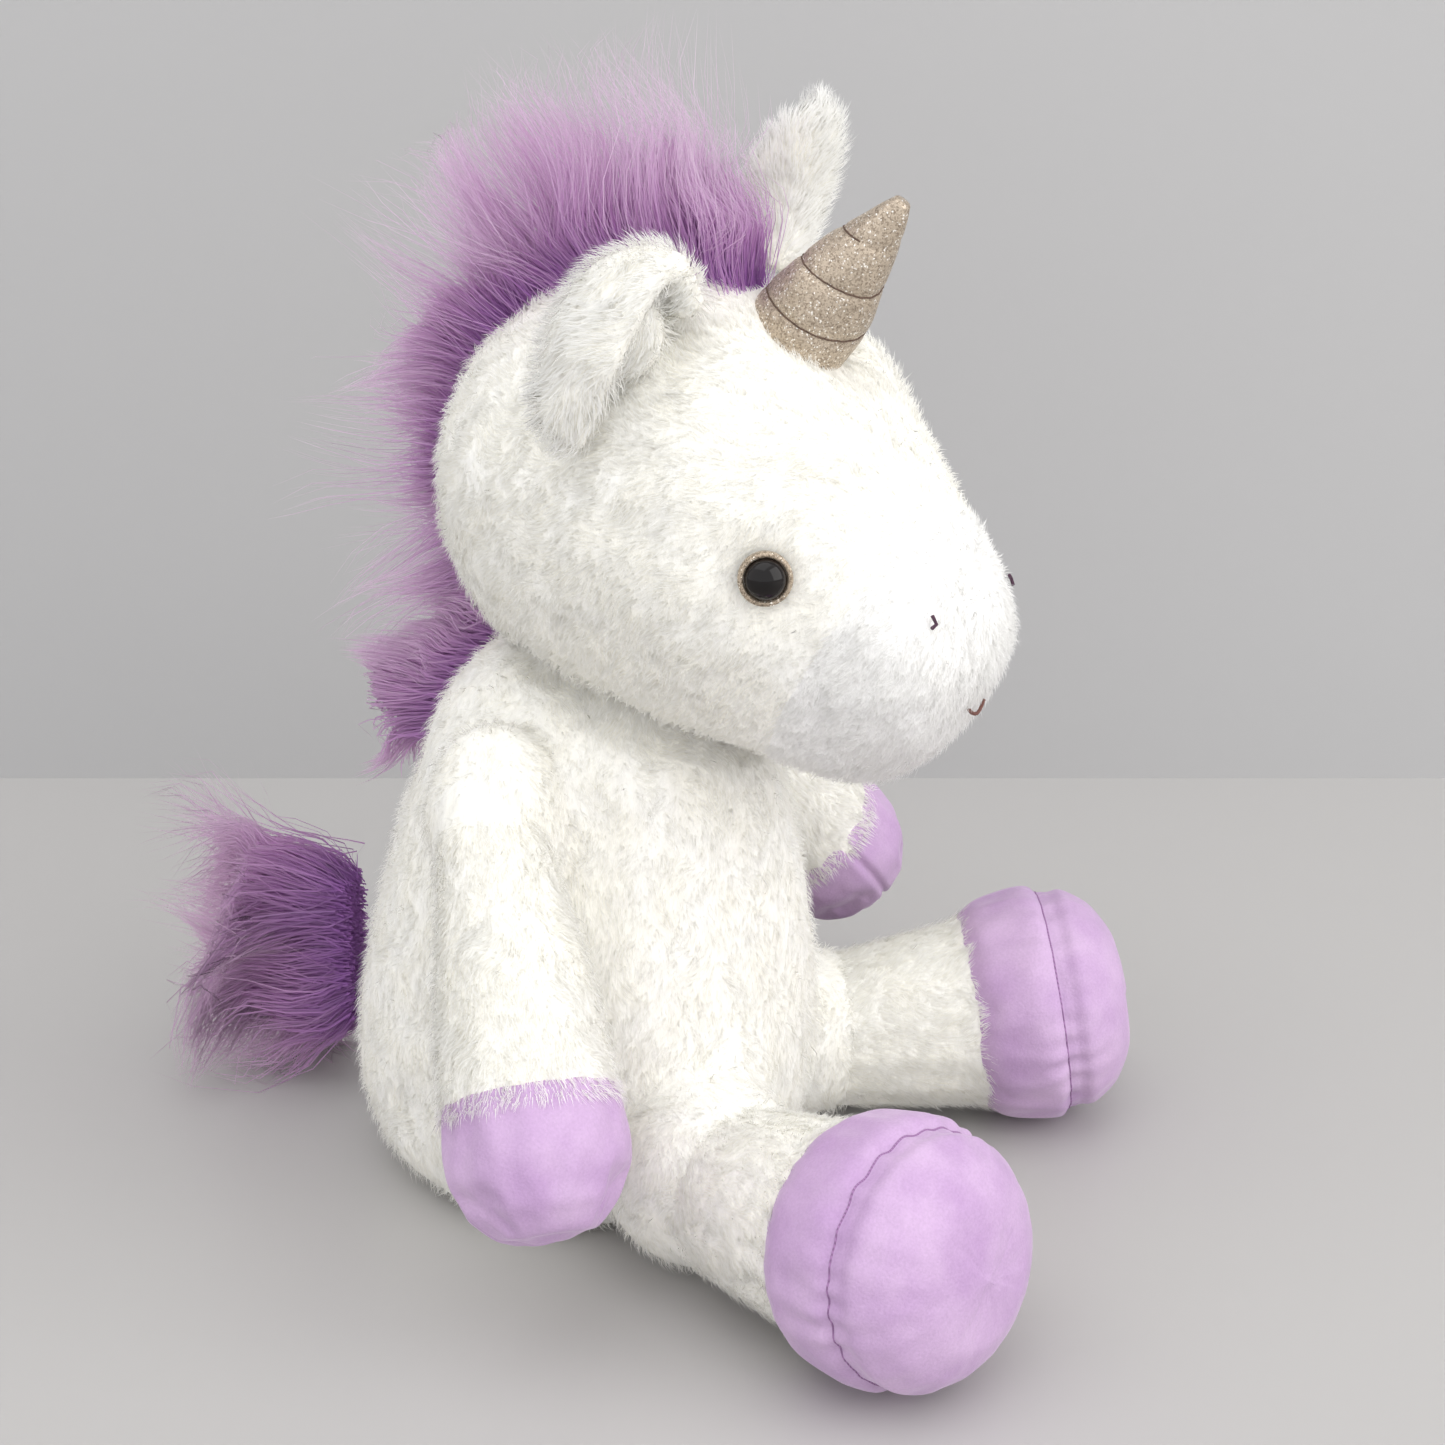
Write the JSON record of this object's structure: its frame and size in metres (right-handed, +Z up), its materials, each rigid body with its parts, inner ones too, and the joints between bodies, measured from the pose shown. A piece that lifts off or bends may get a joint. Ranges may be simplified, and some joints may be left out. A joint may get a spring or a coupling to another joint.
{
  "type": "plush unicorn",
  "caption": "Soft sitting unicorn toy of white long-pile plush with lilac hooves, a purple mane and tail, a glitter horn, glossy eyes, and limbs, head, ears and tail that move.",
  "frame": {"origin": "on the floor under the middle of the body, on the seat face", "axes": "+Z up, front of the toy faces -Y, its right side is at -X"},
  "size_m": [0.2507, 0.3011, 0.3079],
  "materials": {
    "white_plush": "matte",
    "muzzle_plush": "matte",
    "lilac_minky": "matte",
    "purple_pile": "matte",
    "glitter_fabric": "satin",
    "glitter_ring": "gloss",
    "eye_black": "gloss",
    "washer_plastic": "matte",
    "thread": "matte",
    "fibre_filling": "matte",
    "pellets": "matte",
    "label_tape": "matte"
  },
  "bodies": {
    "torso": {"body_cover": "white_plush", "body_stuffing": "fibre_filling", "seat_bean_bag": "pellets", "care_label": "label_tape", "mane_neck": "purple_pile"},
    "neck": {"neck_gusset": "white_plush"},
    "head": {"head_cover": "white_plush", "muzzle_cover": "muzzle_plush", "head_stuffing": "fibre_filling", "right_eye": "eye_black", "right_eye_ring": "glitter_ring", "right_eye_washer": "washer_plastic", "left_eye": "eye_black", "left_eye_ring": "glitter_ring", "left_eye_washer": "washer_plastic", "right_nostril_stitch": "thread", "left_nostril_stitch": "thread", "mouth_stitch": "thread", "horn_cover": "glitter_fabric", "horn_stuffing": "fibre_filling", "horn_thread": "thread", "mane_head": "purple_pile"},
    "right_ear": {"right_ear_outer": "white_plush", "right_ear_inner": "muzzle_plush"},
    "left_ear": {"left_ear_outer": "white_plush", "left_ear_inner": "muzzle_plush"},
    "tail": {"tail_core": "purple_pile", "tail_pile": "purple_pile"},
    "right_arm": {"right_arm_cover": "white_plush", "right_arm_hoof_front": "lilac_minky", "right_arm_hoof_back": "lilac_minky", "right_arm_stuffing": "fibre_filling"},
    "right_leg": {"right_leg_cover": "white_plush", "right_hoof_band": "lilac_minky", "right_hoof_sole": "lilac_minky", "right_leg_stuffing": "fibre_filling", "right_hoof_pellets": "pellets"},
    "left_arm": {"left_arm_cover": "white_plush", "left_arm_hoof_front": "lilac_minky", "left_arm_hoof_back": "lilac_minky", "left_arm_stuffing": "fibre_filling"},
    "left_leg": {"left_leg_cover": "white_plush", "left_hoof_band": "lilac_minky", "left_hoof_sole": "lilac_minky", "left_leg_stuffing": "fibre_filling", "left_hoof_pellets": "pellets"}
  },
  "joints": [
    {"name": "neck_turn", "type": "hinge", "parent": "torso", "child": "neck", "pos_m": [0, -0.006, 0.116], "axis": [0, 0, 1], "range_deg": [-25, 25], "stiffness_Nm_per_rad": 0.02},
    {"name": "neck_nod", "type": "hinge", "parent": "neck", "child": "head", "pos_m": [0, -0.006, 0.116], "axis": [0.9925, -0.1219, 0], "range_deg": [-12, 8], "stiffness_Nm_per_rad": 0.05},
    {"name": "right_ear_flop", "type": "hinge", "parent": "head", "child": "right_ear", "pos_m": [-0.0339, -0.04415, 0.257], "axis": [0.363, 0.9102, -0.1995], "range_deg": [-4, 40], "stiffness_Nm_per_rad": 0.001},
    {"name": "left_ear_flop", "type": "hinge", "parent": "head", "child": "left_ear", "pos_m": [0.02614, -0.0475, 0.258], "axis": [0.6669, -0.7384, 0.1003], "range_deg": [-60, 10], "stiffness_Nm_per_rad": 0.001},
    {"name": "right_arm_swing", "type": "hinge", "parent": "torso", "child": "right_arm", "pos_m": [-0.057, 0, 0.128], "axis": [-0.9798, 0, 0.2], "range_deg": [-13, 60], "stiffness_Nm_per_rad": 0.005},
    {"name": "left_arm_swing", "type": "hinge", "parent": "torso", "child": "left_arm", "pos_m": [0.057, 0, 0.128], "axis": [-0.9798, 0, -0.2], "range_deg": [-25, 45], "stiffness_Nm_per_rad": 0.005},
    {"name": "right_leg_raise", "type": "hinge", "parent": "torso", "child": "right_leg", "pos_m": [-0.046, -0.057, 0.0245], "axis": [-0.9229, 0.385, 0], "range_deg": [0, 22], "stiffness_Nm_per_rad": 0.01},
    {"name": "left_leg_raise", "type": "hinge", "parent": "torso", "child": "left_leg", "pos_m": [0.044, -0.05, 0.0245], "axis": [-0.9121, -0.4099, 0], "range_deg": [0, 22], "stiffness_Nm_per_rad": 0.01},
    {"name": "tail_wag", "type": "hinge", "parent": "torso", "child": "tail", "pos_m": [0, 0.074, 0.05], "axis": [0, -0.1129, 0.9936], "range_deg": [-25, 25], "stiffness_Nm_per_rad": 0.002}
  ]
}
